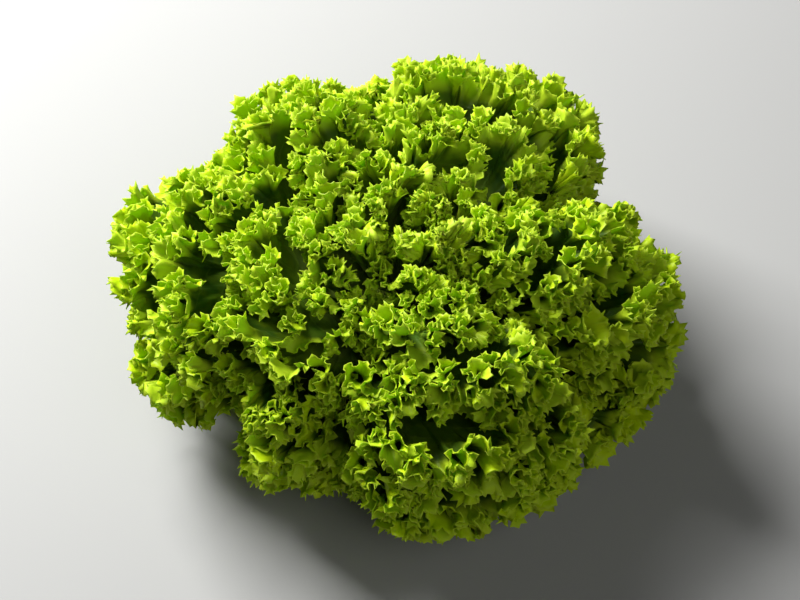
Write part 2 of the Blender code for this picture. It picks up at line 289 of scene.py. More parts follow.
class LettuceStudio(bpy.types.PropertyGroup):
    """The floor, the lights and the camera."""

    floor: colour_property("Floor", "Plain pale floor", (0.42, 0.42, 0.41))
    key_power: bpy.props.FloatProperty(
        name="Key light", description="Power of the soft light behind on the left, in watts",
        default=50.0, min=0.0,
    )
    fill_power: bpy.props.FloatProperty(
        name="Fill light", description="Power of the wide light in front, in watts", default=5.0, min=0.0
    )
    sky: bpy.props.FloatProperty(
        name="Sky", description="Brightness of the plain surroundings", default=0.016, min=0.0
    )
    elevation: bpy.props.FloatProperty(
        name="Camera elevation", description="How steeply the camera looks down",
        default=math.radians(55.0), subtype="ANGLE", unit="ROTATION",
    )
    distance: length_property("Camera distance", "From the camera to the head", 944.0)
    lens: bpy.props.FloatProperty(
        name="Lens", description="Focal length of the camera", default=85.0, unit="CAMERA"
    )


def mix(pair, share):
    """A value between the outermost leaf's and the innermost's."""
    return pair[0] + (pair[1] - pair[0]) * share


def smooth(low, high, value):
    """0 below low, 1 above high, and a smooth step between. Where low is the greater, it falls instead."""
    t = np.clip((value - low) / (high - low), 0.0, 1.0)
    return t * t * (3.0 - 2.0 * t)


def flare(inset, band, steepness):
    """1 at the margin, 0 from the band's inner end on, and steepest at the margin, which so bends over."""
    return np.clip(1.0 - inset / band, 0.0, 1.0) ** steepness


def unit(vectors):
    """These vectors at length 1."""
    return vectors / np.maximum(np.linalg.norm(vectors, axis=-1, keepdims=True), 1e-9)


def direction(azimuth, elevation):
    """The unit vector at this azimuth and elevation, in degrees."""
    turn, lift = math.radians(azimuth), math.radians(elevation)
    return np.array([math.cos(lift) * math.cos(turn), math.cos(lift) * math.sin(turn), math.sin(lift)])


def swelling(away):
    """How far out the head reaches in each direction, as a share of the plain dome."""
    scale = np.ones(away.shape[:-1])
    for azimuth, elevation, spread, rise in PILLOWS:
        apart = np.degrees(np.arccos(np.clip(away @ direction(azimuth, elevation), -1, 1)))
        scale += rise * np.exp(-((apart / spread) ** 2))
    for *ends, spread, depth in CREASES:
        first, last = direction(*ends[:2]), direction(*ends[2:])
        run = last - first
        share = np.clip((away - first) @ run / (run @ run), 0, 1)[..., None]
        nearest = unit(first + run * share)
        apart = np.degrees(np.arccos(np.clip((away * nearest).sum(-1), -1, 1)))
        scale -= depth * np.exp(-((apart / spread) ** 2))
    return scale


def settle(points):
    """Moves points out with the head's pillows, in under its creases and over with its lean.
    Below the centre, heights stay."""
    centre = np.array([0.0, 0.0, EQUATOR_HEIGHT])
    offset = points - centre
    far = np.linalg.norm(offset, axis=-1)
    away = offset / np.maximum(far, 1e-6)[..., None]
    amount = smooth(*CALM_UNDERSIDE, away[..., 2]) * smooth(*CALM_CORE, far)
    moved = offset * (1.0 + (swelling(away) - 1.0) * amount)[..., None]
    moved[..., 2] = np.where(offset[..., 2] < 0, offset[..., 2], moved[..., 2])
    moved += centre
    moved[..., :2] += smooth(*LEAN_HEIGHTS, moved[..., 2:]) * np.array(LEAN)
    return moved


def stem_outline(share):
    """(radius, height) on the stem's side and rounded top, from the foot of its leaves to its tip."""
    turn = share * STEM_TURN
    radius = STEM_RADIUS * math.cos(turn) ** STEM_TAPER
    return radius, STEM_SHOULDER + (STEM_HEIGHT - STEM_SHOULDER) * math.sin(turn)


def dome_outline(rank, reach):
    """(radius, height) on the dome of the head, from its lowest leaf's tip to its heart's."""
    turn = mix((LOWEST_TURN, HIGHEST_TURN), rank)
    rise = abs(math.sin(turn)) ** FULLNESS * (CREST_RISE if turn > 0 else -UNDERSIDE_DROP)
    height = EQUATOR_HEIGHT + rise - HEART_DIP * rank**HEART_DIP_ONSET
    return EQUATOR_RADIUS * math.cos(turn) ** ROUNDNESS * reach, height


class Profile:
    """A leaf's midline in the upright plane through the stem: radius and height against length."""

    def __init__(self, rank, reach):
        foot = np.array(stem_outline(mix(LEAF_FEET, rank)))
        before = np.array(stem_outline(mix(LEAF_FEET, rank) - FOOT_STEP))
        along = (foot - before) / np.linalg.norm(foot - before)
        away = np.array([along[1], -along[0]])
        start = mix(START_ANGLE, rank**INWARD_CHANGE)
        heading = np.array([math.cos(start), math.sin(start)])
        foot = foot + away * (STEM_GAP + mix(STALK_THICKNESS, rank) / 2 * abs(along @ heading))
        tip = np.array(dome_outline(rank, reach))
        end = mix((LOWEST_TURN, HIGHEST_TURN), rank) + mix(RISE_FROM_DOME, rank)
        arrival = np.array([math.cos(end), math.sin(end)])
        span = np.linalg.norm(tip - foot) * PROFILE_FULLNESS
        t = np.linspace(0, 1, PROFILE_STEPS)[:, None]
        points = (
            (2 * t**3 - 3 * t**2 + 1) * foot
            + (t**3 - 2 * t**2 + t) * span * heading
            + (-2 * t**3 + 3 * t**2) * tip
            + (t**3 - t**2) * span * arrival
        )
        self.points = np.vstack([points, tip + arrival * PROFILE_RUN_ON])
        steps = np.linalg.norm(np.diff(self.points, axis=0), axis=1)
        self.length_at = np.concatenate([[0.0], np.cumsum(steps)])
        self.length = self.length_at[-2]
        slopes = unit(np.gradient(self.points, self.length_at, axis=0))
        self.normals = np.stack([-slopes[:, 1], slopes[:, 0]], axis=1)

    def at(self, length):
        """(radius, height) points and their inward normals at these lengths."""
        found = [np.interp(length, self.length_at, column) for column in self.points.T]
        normal = [np.interp(length, self.length_at, column) for column in self.normals.T]
        return np.stack(found, -1), np.stack(normal, -1)


class Leaf:
    """One leaf's place, outline and large folds."""

    def __init__(self, index):
        self.index = index
        self.rank = index / (LEAF_COUNT - 1)
        random = np.random.default_rng(SEED + index)
        self.azimuth = FIRST_AZIMUTH + index * DIVERGENCE + random.uniform(-AZIMUTH_SPREAD, AZIMUTH_SPREAD)
        self.profile = Profile(self.rank, 1.0 + random.uniform(-REACH_SPREAD, REACH_SPREAD))
        self.length = self.profile.length
        self.random = np.random.default_rng(FINE_SEED + index)
        large = random.uniform(0, 2 * math.pi, PHASE_COUNT)
        fine = self.random.uniform(0, 2 * math.pi, FINE_PHASE_COUNT)
        self.phases = np.concatenate([large, fine])
        self.scale = mix(FINE_SCALE, self.rank)
        self.neighbours = []
        self.trace_margin()

    def half_width(self, length):
        """Half the leaf's width at this length, before it is wrapped; below 0 past the tip."""
        share = length / self.length
        stalk = mix(STALK_HALF_WIDTH, self.rank)
        widest = mix(LEAF_HALF_WIDTH, self.rank**INWARD_CHANGE)
        body = stalk + (widest - stalk) * smooth(*WIDENING, share)
        past_widest = np.clip(share - ROUND_TOP, 0, None) / (1.0 - ROUND_TOP)
        top = np.clip(1.0 - past_widest**TOP_ROUNDNESS, 0, None) ** (1 / TOP_ROUNDNESS)
        return np.where(share > 1.0, -(share - 1.0) * self.length, body * top)

    def wrap_radius(self, length):
        """The radius that the leaf's width is wrapped round, so large that it doesn't close on itself."""
        point, _ = self.profile.at(length)
        return np.maximum(np.maximum(point[..., 0], LEAST_WRAP), self.half_width(length) / WIDEST_ANGLE)

    def trace_margin(self):
        """The margin from one side of the foot over the tip to the other: distance from the tip, across and
        length. The distance counts less beside the stalk, where the frill's waves are longer."""
        share = 1.0 - np.linspace(1, 0, MARGIN_STEPS) ** 2
        length = share * self.length
        across = np.maximum(self.half_width(length), 0.0)
        across[-1] = 0.0
        frilled = mix(FRILL_THINNING, smooth(*THINNING_END, share[1:]))
        run = np.concatenate([[0.0], np.cumsum(np.hypot(np.diff(across), np.diff(length)) * frilled)])
        self.side = run[-1]
        from_tip = run[-1] - run
        self.margin = np.array([
            np.concatenate([-from_tip, from_tip[-2::-1]]),
            np.concatenate([across, -across[-2::-1]]),
            np.concatenate([length, length[-2::-1]]),
        ])
        self.waves = 2 * round(self.side / mix(FRILL_WAVE, self.rank))

    def wander(self, along, scale, first):
        """A slow seeded waver between about -1 and 1."""
        turn = along * 2 * math.pi / scale
        parts = [np.sin(rate * turn + self.phases[first + k]) for k, rate in enumerate(WANDER_RATES)]
        return sum(parts) / WANDER_REACH

    def turn(self, from_tip):
        """The frill's phase along the margin: a whole number of waves, some longer than others."""
        share = (from_tip / self.side + 1.0) / 2
        drift = FRILL_WANDER * self.wander(from_tip, FRILL_WANDER_RUN, 0) * np.sin(math.pi * share)
        return 2 * math.pi * self.waves * share + drift

    def place(self, across, length, rise):
        """World points of the leaf: across and length on the flat leaf, rise towards the head's axis."""
        point, normal = self.profile.at(length)
        turn = self.azimuth + across / self.wrap_radius(length)
        radius = point[..., 0] + rise * normal[..., 0]
        height = point[..., 1] + rise * normal[..., 1]
        return settle(np.stack([radius * np.cos(turn), radius * np.sin(turn), height], -1))

    def meet(self, leaves):
        """Notes, along the profile, how far off each other leaf's profile is and its nearest place there."""
        own = self.profile.points[:, None, :]
        for other in leaves:
            if other is not self:
                apart = np.linalg.norm(own - other.profile.points, axis=2)
                nearest = other.profile.length_at[apart.argmin(axis=1)]
                self.neighbours.append((other, apart.min(axis=1), nearest))

    def room(self, across, length):
        """Half the way to the next leaf at each point, outwards and inwards, at most the frill's depth."""
        deepest = mix(FRILL_DEPTH, self.rank)
        point, normal = self.profile.at(length)
        turn = self.azimuth + across / self.wrap_radius(length)
        outward = np.full(across.shape, deepest)
        inward = np.full(across.shape, deepest)
        for other, apart, nearest in self.neighbours:
            half = np.minimum(np.interp(length, self.profile.length_at, apart) / 2, deepest)
            there = np.interp(length, self.profile.length_at, nearest)
            away = (turn - other.azimuth + math.pi) % (2 * math.pi) - math.pi
            beyond = np.abs(away) * other.wrap_radius(there) - other.half_width(there)
            cover = smooth(NEIGHBOUR_FADE, 0.0, beyond - NEIGHBOUR_MARGIN)
            limit = deepest + (half - deepest) * cover
            if other.index < self.index:
                outward = np.minimum(outward, limit)
            else:
                inward = np.minimum(inward, limit)
        floor = (point[..., 1] - FLOOR_CLEARANCE) / np.maximum(normal[..., 1], LEAST_SLOPE)
        return np.minimum(outward, floor), inward

    def grown(self, from_tip):
        """How full the frill is along the margin: none beside the stalk, full from a third of the length."""
        return smooth(*FRILL_ONSET, np.interp(from_tip, self.margin[0], self.margin[2]) / self.length)

    def large_folds(self, from_tip, across, length, inset):
        """World points with the frill's large folds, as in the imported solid."""
        _, edge_across, edge_length = self.margin
        lean = np.gradient(np.stack([edge_across, edge_length]), axis=1)
        lean /= np.maximum(np.linalg.norm(lean, axis=0), 1e-9)
        lean_across, lean_length = (np.interp(from_tip, self.margin[0], part) for part in lean)
        turn = self.turn(from_tip)
        wave = mix(FRILL_WAVE, self.rank)
        fine = 2 * math.pi * from_tip / (wave * FINE_WAVE)
        fine += FINE_WANDER * self.wander(from_tip, FINE_WANDER_RUN, 3)
        swing = np.tanh(FRILL_SQUARENESS * (np.sin(turn) + FINE_SHARE * np.sin(fine)))
        swing = np.clip(swing * (1.0 + UNEVENNESS * self.wander(from_tip, UNEVEN_RUN, 6)), -1.0, 1.0)
        depth = flare(inset, FRILL_BAND, FRILL_FLARE) * self.grown(from_tip)
        slip = -OVERHANG * wave * depth * np.sin(2 * turn)
        draw = mix(DRAW_IN, self.rank) * depth * swing**2
        across = across + slip * lean_across - np.sign(across) * np.abs(lean_length) * draw
        length = np.maximum(length + slip * lean_length - np.abs(lean_across) * draw, 0.0)
        outward, inward = self.room(across, length)
        rise = depth * swing * np.maximum(np.where(swing > 0, inward, outward) - LEAF_CLEARANCE, 0.0)
        return self.place(across, length, rise)

    def rows(self, from_tip, insets):
        """The leaf with its large folds, row by row from the margin, and its points' places when flat."""
        edge_across, edge_length = (np.interp(from_tip, self.margin[0], line) for line in self.margin[1:])
        spine = SPINE_TOP * self.length * (1.0 - np.abs(from_tip) / self.side)
        reach = np.hypot(edge_across, edge_length - spine)
        inset = np.minimum(np.array(insets)[:, None], reach)
        out = 1.0 - inset / np.maximum(reach, 1e-6)
        across, length = edge_across * out, spine + (edge_length - spine) * out**FAN_CURVE
        return self.large_folds(from_tip, across, length, inset), inset, across, length


class Ripple:
    """One finer level of folds along a margin: the length and depth of its waves, the band that they fill and
    how steeply they fade in it. Waves hang over and skew sideways, have round lobes, draw the margin in, and
    keep a share of their depth for the lip. Their seeded phases begin at the leaf's phase number first."""

    def __init__(self, wave, depth, band, steepness, overhang, first, skew=0.0, lobe=0.0, draw=0.0, lip=0.0):
        self.wave, self.depth = wave, depth
        self.band, self.steepness = band, steepness
        self.overhang, self.skew, self.lip = overhang, skew, lip
        self.lobe, self.draw = lobe, draw
        self.first = first


def along_and_normal(grid):
    """Unit vectors over a grid whose first row is the margin: out of the leaf, along it and off it."""
    along = unit(np.gradient(grid, axis=1))
    out = unit(-np.gradient(grid, axis=0))
    normal = unit(np.cross(out, along))
    return unit(np.cross(along, normal)), along, normal


def run_of(line):
    """The distance along a line of points."""
    return np.concatenate([[0.0], np.cumsum(np.linalg.norm(np.diff(line, axis=0), axis=1))])


def add_ripple(leaf, ripple, grid, inset, run, grown):
    """The grid with one finer level of folds, whose phase follows the run of the margin."""
    wave = ripple.wave * leaf.scale
    turn = 2 * math.pi * run / wave
    turn = turn + WAVE_WANDER * leaf.wander(run, WAVE_WANDER_RUN * ripple.wave, ripple.first)
    skew = ripple.skew * leaf.wander(run, SKEW_RUN * ripple.wave, ripple.first + 3)
    turn = turn + skew * inset / SKEW_BAND
    uneven = leaf.wander(run, DEPTH_RUN * ripple.wave, ripple.first + 6) - 0.5
    depth = ripple.depth * leaf.scale * (1.0 + DEPTH_SPREAD * uneven) * grown
    swell = (1 - ripple.lip) * flare(inset, ripple.band * leaf.scale, ripple.steepness)
    swell = swell + ripple.lip * flare(inset, LIP_BAND * leaf.scale, LIP_STEEPNESS)
    out, along, normal = along_and_normal(grid)
    swing = depth * swell * np.sin(turn)
    slip = -ripple.overhang * wave * grown * np.sin(2 * turn) * swell
    reach = ripple.lobe * np.abs(np.sin(turn / 2)) - ripple.draw * np.sin(turn) ** 2
    reach = reach * leaf.scale * grown * swell
    return grid + normal * swing[..., None] + along * slip[..., None] + out * reach[..., None]


def column_places(leaf, ripples):
    """Columns at equal steps of the finished margin: their places on the margin, and its run before each
    level of folds."""
    from_tip = np.linspace(-leaf.side, leaf.side, 2 * TRACE_STEPS + 1)
    grown = leaf.grown(from_tip)
    grid, inset, _, _ = leaf.rows(from_tip, TRACE_ROWS)
    runs = [run_of(grid[0])]
    for ripple in ripples:
        grid = add_ripple(leaf, ripple, grid, inset, runs[-1], grown)
        runs.append(run_of(grid[0]))
    finished = runs[-1]
    tip = finished[TRACE_STEPS]
    step = mix(COLUMN_STEP, leaf.rank)
    side = max(round(finished[-1] / 2 / step / COARSEST_STEP), 1) * COARSEST_STEP
    places = np.concatenate([np.linspace(0, tip, side + 1)[:-1], np.linspace(tip, finished[-1], side + 1)])
    columns = np.interp(places, finished, from_tip)
    return columns, [np.interp(columns, from_tip, run) for run in runs[:-1]]


def add_teeth(leaf, grid, inset, grown, tooth_length):
    """The grid with a tooth on every second column of the margin, in an uneven row."""
    count = grid.shape[1]
    places = np.arange(count)
    phases = leaf.phases[TOOTH_PHASES:]
    quick, slow = (np.sin(places * rate + phase) for rate, phase in zip(LIVELY_RATES, phases))
    lively = LIVELY_LEVEL + (1.0 - LIVELY_LEVEL) * quick * slow
    tall = leaf.random.uniform(SHORTEST_TOOTH, 1.0, count) * lively
    tooth = np.where(places % 2 == 1, tall, -NOTCH_SHARE * tall) * tooth_length * leaf.scale * grown
    out, along, normal = along_and_normal(grid)
    askew = leaf.random.uniform(-TOOTH_ASKEW, TOOTH_ASKEW, (2, count)) * tooth
    reach = smooth(TOOTH_BAND, 0.0, inset)
    return grid + reach[..., None] * (
        out * tooth[:, None] + along * askew[0][:, None] + normal * askew[1][:, None]
    )


def lift_off_floor(grid):
    """The grid with its lowest points raised smoothly, so that none is below the floor's clearance."""
    height = grid[..., 2]
    room = LOW_HEIGHT - FLOOR_CLEARANCE
    eased = FLOOR_CLEARANCE + room * np.exp((np.minimum(height, LOW_HEIGHT) - LOW_HEIGHT) / room)
    grid[..., 2] = np.where(height < LOW_HEIGHT, eased, height)
    return grid


def blade_thickness(leaf, across, length, inset, thinnest):
    """The leaf's thickness: its stalk and midrib, thinning out into the blade and to its margin."""
    share = length / leaf.length
    rib = np.exp(-((across / mix(RIB_HALF_WIDTH, leaf.rank)) ** 2)) * smooth(RIB_END, 0.0, share)
    thick = mix(STALK_THICKNESS, leaf.rank) * (1.0 - STALK_TAPER * share)
    body = np.maximum(rib, STALK_FLATNESS * smooth(STALK_END, 0.0, share))
    outward, inward = leaf.room(across, length)
    spare = 2.0 * (np.minimum(outward, inward) - LEAF_CLEARANCE / 2)
    full = np.maximum(np.minimum(thinnest + (thick - thinnest) * body, spare), thinnest)
    return thinnest + (full - thinnest) * smooth(0.0, BLADE_THINNING, inset)


def strips(rows):
    """The triangles between rows of point numbers, from the margin's to the midrib's."""
    made = []
    for upper, lower in zip(rows, rows[1:]):
        if len(upper) == len(lower):
            made.append(np.stack([upper[:-1], upper[1:], lower[1:]], -1))
            made.append(np.stack([upper[:-1], lower[1:], lower[:-1]], -1))
        else:
            first, middle, last = upper[:-2:2], upper[1:-1:2], upper[2::2]
            made += [
                np.stack([first, middle, lower[:-1]], -1),
                np.stack([middle, lower[1:], lower[:-1]], -1),
                np.stack([middle, last, lower[1:]], -1),
            ]
    triangles = np.concatenate(made)
    repeats = (triangles[:, 0] == triangles[:, 1]) | (triangles[:, 1] == triangles[:, 2])
    return triangles[~(repeats | (triangles[:, 0] == triangles[:, 2]))]


def leaf_shell(leaf, frill):
    """The leaf as a closed shell: its points, its triangles, which of these stay flat, and the facts that its
    finish needs at each point."""
    curls = Ripple(
        frill.curl_wave / MM, frill.curl_depth / MM, band=44.0, steepness=1.7, overhang=0.15,
        first=CURL_PHASES, skew=0.8, lobe=3.0, draw=5.5, lip=0.55,
    )
    ruffles = Ripple(
        frill.ruffle_wave / MM, frill.ruffle_depth / MM, band=13.0, steepness=1.6, overhang=0.13,
        first=RUFFLE_PHASES, draw=1.2,
    )
    ripples = (curls, ruffles)
    columns, runs = column_places(leaf, ripples)
    grown = leaf.grown(columns)
    grid, inset, across, length = leaf.rows(columns, [distance for distance, _ in ROWS])
    for ripple, run in zip(ripples, runs):
        grid = add_ripple(leaf, ripple, grid, inset, run, grown)
    grid = lift_off_floor(add_teeth(leaf, grid, inset, grown, frill.tooth_length / MM))
    _, _, normal = along_and_normal(grid)
    half = blade_thickness(leaf, across, length, inset, frill.thickness / MM) / 2
    kept, rows, total = [], [], 0
    for k, (_, step) in enumerate(ROWS):
        ids = np.arange(len(columns[::step]))
        if k == len(ROWS) - 1:
            ids = np.minimum(ids, ids[::-1])
        picked = np.arange(ids.max() + 1) * step
        rows.append(ids + total)
        total += len(picked)
        kept.append((np.full(len(picked), k), picked))
    where = tuple(np.concatenate(part) for part in zip(*kept))
    points, offset = grid[where], normal[where] * half[where][:, None]
    inner = strips(rows)
    rim, rim_under = rows[0], rows[0] + total
    edge = [
        np.stack([rim[:-1], rim_under[:-1], rim[1:]], -1),
        np.stack([rim[1:], rim_under[:-1], rim_under[1:]], -1),
    ]
    triangles = np.concatenate([inner, inner[:, ::-1] + total, *edge])
    flat = np.arange(len(triangles)) >= 2 * len(inner)
    facts = {
        "inset": np.tile(inset[where], 2),
        "across": np.tile(across[where], 2),
        "length": np.tile(length[where], 2),
        "under": np.repeat([0.0, 1.0], total),
        "age": np.full(2 * total, leaf.rank),
    }
    return np.concatenate([points + offset, points - offset]), triangles, flat, facts


def mesh_object(name, points, triangles, flat, facts, finish):
    """An object with this mesh in millimetres, its flat faces, the facts at its points, and one finish."""
    mesh = bpy.data.meshes.new(name)
    mesh.vertices.add(len(points))
    mesh.vertices.foreach_set("co", (points * MM).astype(np.float32).ravel())
    mesh.loops.add(triangles.size)
    mesh.loops.foreach_set("vertex_index", triangles.astype(np.int32).ravel())
    mesh.polygons.add(len(triangles))
    mesh.polygons.foreach_set("loop_start", np.arange(len(triangles), dtype=np.int32) * 3)
    mesh.update(calc_edges=True)
    mesh.shade_smooth()
    mesh.attributes.new("sharp_face", "BOOLEAN", "FACE").data.foreach_set("value", flat)
    for fact, values in facts.items():
        mesh.attributes.new(fact, "FLOAT", "POINT").data.foreach_set("value", values.astype(np.float32))
    mesh.materials.append(finish)
    made = bpy.data.objects.new(name, mesh)
    bpy.context.scene.collection.objects.link(made)
    return made


class Wire:
    """A socket of a finish's node, for shader expressions."""

    def __init__(self, finish, socket):
        self.finish, self.socket = finish, socket

    def maths(self, operation, first, second):
        return self.finish.node("ShaderNodeMath", {"operation": operation}, {0: first, 1: second})

    def __add__(self, other):
        return self.maths("ADD", self, other)

    def __sub__(self, other):
        return self.maths("SUBTRACT", self, other)

    def __rsub__(self, other):
        return self.maths("SUBTRACT", other, self)

    def __mul__(self, other):
        return self.maths("MULTIPLY", self, other)

    __radd__ = __add__
    __rmul__ = __mul__

    def clamped(self, low, high):
        """0 where this is low, 1 where it is high, and a smooth step between."""
        settings = {"interpolation_type": "SMOOTHSTEP"}
        return self.finish.node("ShaderNodeMapRange", settings, {0: self, 1: low, 2: high})


class Finish:
    """A material under construction."""

    def __init__(self, name):
        self.material = bpy.data.materials.new(name)
        self.material.use_nodes = True
        self.tree = self.material.node_tree
        self.tree.nodes.clear()

    def node(self, kind, settings, sockets, output=0):
        """Adds a node, makes its settings, sets or links its sockets, and gives one of its outputs."""
        made = self.tree.nodes.new(kind)
        for key, value in settings.items():
            setattr(made, key, value)
        for key, value in sockets.items():
            if isinstance(value, Wire):
                self.tree.links.new(value.socket, made.inputs[key])
            elif isinstance(value, tuple) and made.inputs[key].type == "RGBA":
                made.inputs[key].default_value = (*value, 1.0)
            else:
                made.inputs[key].default_value = value
        return Wire(self, made.outputs[output]) if made.outputs else None

    def fact(self, name):
        """A value that the mesh holds at its points."""
        return self.node("ShaderNodeAttribute", {"attribute_name": name}, {}, "Fac")

    def noise(self, size, detail=2.0, distortion=0.0):
        """Noise with features of this size in millimetres."""
        place = self.node("ShaderNodeTexCoord", {}, {}, "Object")
        sockets = {"Vector": place, "Scale": 1.0 / (size * MM), "Detail": detail, "Distortion": distortion}
        return self.node("ShaderNodeTexNoise", {}, sockets)

    def greater(self, first, second):
        """The greater of two values."""
        return self.node("ShaderNodeMath", {"operation": "MAXIMUM"}, {0: first, 1: second})

    def blend(self, amount, first, second):
        """A colour between two others."""
        settings = {"data_type": "RGBA", "clamp_factor": True}
        return self.node("ShaderNodeMix", settings, {0: amount, 6: first, 7: second}, 2)


def colour_of(values):
    """A colour property as a plain tuple."""
    return tuple(float(value) for value in values)


def leaf_finish(name, colours, paleness):
    """A leaf's finish: bright and yellowish near its margin, with a painted highlight along the thin edge,
    and deep green inwards, partly its own colour and partly painted shade in the gaps between its folds, with
    veins and blisters."""
    finish = Finish(name)
    inset, across, length = finish.fact("inset"), finish.fact("across"), finish.fact("length")
    under, age = finish.fact("under"), finish.fact("age")
    # Painted shade mask: the leaf darkens inwards from its margin into the gaps between its folds; the same
    # mask lets less light through there and dims the veins
    inward = inset.clamped(*PAINTED_SHADE_BAND)
    beside = finish.node("ShaderNodeMath", {"operation": "ABSOLUTE"}, {0: across})
    rib = (1.0 - beside.clamped(*RIB_SIDES)) * inset.clamped(*RIB_TOP)
    stalk = 1.0 - length.clamped(*STALK_FADE)
    slanted = length - VEIN_SLANT * beside
    wavering = slanted + VEIN_WAVER * finish.noise(VEIN_WAVER_SIZE)
    spacing = finish.node("ShaderNodeMath", {"operation": "PINGPONG"}, {0: wavering, 1: VEIN_SPACING})
    veins = (1.0 - spacing.clamped(0.0, VEIN_WIDTH)) * inset.clamped(*VEIN_ONSET)
    blisters = finish.noise(BLISTER_SIZE, 1.0, 0.4)
    patches = finish.noise(PATCH_SIZE, 2.0).clamped(0.35, 0.65)
    # Painted shade: the blade colour near the margin darkens into the near-black inner colour
    blade = finish.blend(inward, colour_of(colours.blade), colour_of(colours.inner_blade_and_shade))
    fresh = tuple(min(1.0, part * FRESHNESS) for part in colour_of(colours.blade))
    # How far the light random patches and blisters show, kept mostly out of the painted shade
    unshaded = 1.0 - 0.75 * inward
    blade = finish.blend(patches * unshaded * (0.25 + paleness), blade, fresh)
    blade = finish.blend(blisters.clamped(0.45, 0.75) * unshaded * 0.3, blade, fresh)
    lines = finish.greater(veins * 0.35, rib)
    lines = finish.greater(lines * (0.8 - 0.6 * inward), stalk)
    blade = finish.blend(lines, blade, colour_of(colours.rib))
    # Painted highlight: a thin pale line along the margin, where the edge catches the light
    edge = 1.0 - inset.clamped(0.0, EDGE_HIGHLIGHT_WIDTH)
    blade = finish.blend(edge * 0.15, blade, colour_of(colours.margin))
    blade = finish.blend((under + age) * (0.12 - 0.1 * inward), blade, colour_of(colours.rib))
    height = blisters * 0.8 + finish.noise(GRAIN_SIZE, 2.0) * 0.12 + veins * 0.25
    bump = finish.node("ShaderNodeBump", {}, {"Strength": 0.55, "Distance": 0.0011, "Height": height})
    roughness = 0.30 + 0.16 * finish.noise(5.0) + 0.08 * under
    surface = finish.node(
        "ShaderNodeBsdfPrincipled", {},
        {"Base Color": blade, "Roughness": roughness, "Normal": bump, "Specular IOR Level": 0.18},
    )
    glow = finish.node("ShaderNodeBsdfTranslucent", {}, {"Color": colour_of(colours.glow)})
    through = 0.30 - 0.22 * inward - 0.06 * lines
    both = finish.node("ShaderNodeMixShader", {}, {0: through, 1: surface, 2: glow})
    finish.node("ShaderNodeOutputMaterial", {}, {"Surface": both})
    return finish.material


def stem_finish(colours):
    """The stem's finish: green white skin, and a creamy cut face with a darker ring inside its rim."""
    finish = Finish("stem_flesh")
    cut, ring = finish.fact("cut"), finish.fact("ring")
    mottle = finish.noise(3.0, 3.0)
    skin = finish.blend(mottle * 0.5, colour_of(colours.stem_skin), (0.70, 0.74, 0.48))
    face = finish.blend(mottle.clamped(0.35, 0.7) * 0.5, colour_of(colours.stem_cut), (0.55, 0.42, 0.22))
    face = finish.blend(ring * 0.6, face, (0.42, 0.40, 0.16))
    colour = finish.blend(cut, skin, face)
    height = mottle + finish.noise(0.9, 2.0) * 0.4
    bump = finish.node("ShaderNodeBump", {}, {"Strength": 0.5, "Distance": 0.0005, "Height": height})
    roughness = 0.42 + 0.2 * mottle
    surface = finish.node(
        "ShaderNodeBsdfPrincipled", {}, {"Base Color": colour, "Roughness": roughness, "Normal": bump}
    )
    finish.node("ShaderNodeOutputMaterial", {}, {"Surface": surface})
    return finish.material


def grow_leaves():
    """Every leaf's form, which has to know the other leaves."""
    leaves = [Leaf(index) for index in range(LEAF_COUNT)]
    for leaf in leaves:
        leaf.meet(leaves)
    return leaves


def dress_leaves(context, chosen, finish):
    """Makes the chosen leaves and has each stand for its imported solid."""
    for leaf in grow_leaves()[chosen]:
        shell = leaf_shell(leaf, context.scene.lettuce_frill)
        piece = mesh_object(f"frilled_{LEAF_NODES[leaf.index]}", *shell, finish)
        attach(piece, BODY)
        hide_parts(LEAF_NODES[leaf.index])


def stem_rings():
    """The rings of points down the stem's side and in over its cut face, and the cut face's radius."""
    rim = STEM_RADIUS * STEM_FOOT
    side = [stem_outline(1.0 - k / STEM_SIDE_STEPS) for k in range(STEM_SIDE_STEPS + 1)]
    face = [(rim * (1.0 - k / STEM_FACE_RINGS), 0.0) for k in range(STEM_FACE_RINGS)]
    outline = np.array([*side, *face])
    turns = np.linspace(0, 2 * math.pi, STEM_SIDES, endpoint=False)
    phases = np.random.default_rng(SEED).uniform(0, 2 * math.pi, len(LOBE_RATES))
    lobes = sum(np.sin(rate * turns + phase) for rate, phase in zip(LOBE_RATES, phases)) / len(LOBE_RATES)
    radius = outline[:, :1] * (1.0 - LOBE_DEPTH * (1.0 + lobes)[None, :] * smooth(0.0, rim, outline[:, :1]))
    height = np.repeat(outline[:, 1:], STEM_SIDES, axis=1)
    return np.stack([radius * np.cos(turns), radius * np.sin(turns), height], -1), rim


def stem_shell(top):
    """The stem as a closed shell with its tip at this height: the same four things as for a leaf."""
    rings, rim = stem_rings()
    points = np.concatenate([[[0.0, 0.0, top]], rings.reshape(-1, 3), [[0.0, 0.0, 0.0]]])
    ids = 1 + np.arange(rings[..., 0].size).reshape(rings.shape[:2])
    round_ids = np.concatenate([ids, ids[:, :1]], axis=1)
    upper, lower = round_ids[:-1], round_ids[1:]
    first, last = round_ids[0], round_ids[-1]
    triangles = np.concatenate([
        np.stack([upper[:, :-1], lower[:, :-1], lower[:, 1:]], -1).reshape(-1, 3),
        np.stack([upper[:, :-1], lower[:, 1:], upper[:, 1:]], -1).reshape(-1, 3),
        np.stack([np.zeros_like(first[:-1]), first[:-1], first[1:]], -1),
        np.stack([last[:-1], np.full_like(last[:-1], len(points) - 1), last[1:]], -1),
    ])
    far = np.hypot(points[:, 0], points[:, 1])
    facts = {
        "cut": (points[:, 2] < CUT_HEIGHT).astype(float),
        "ring": np.exp(-(((far - RING_PLACE * rim) / RING_WIDTH) ** 2)),
    }
    return points, triangles, (points[triangles][:, :, 2] < CUT_HEIGHT).all(axis=1), facts


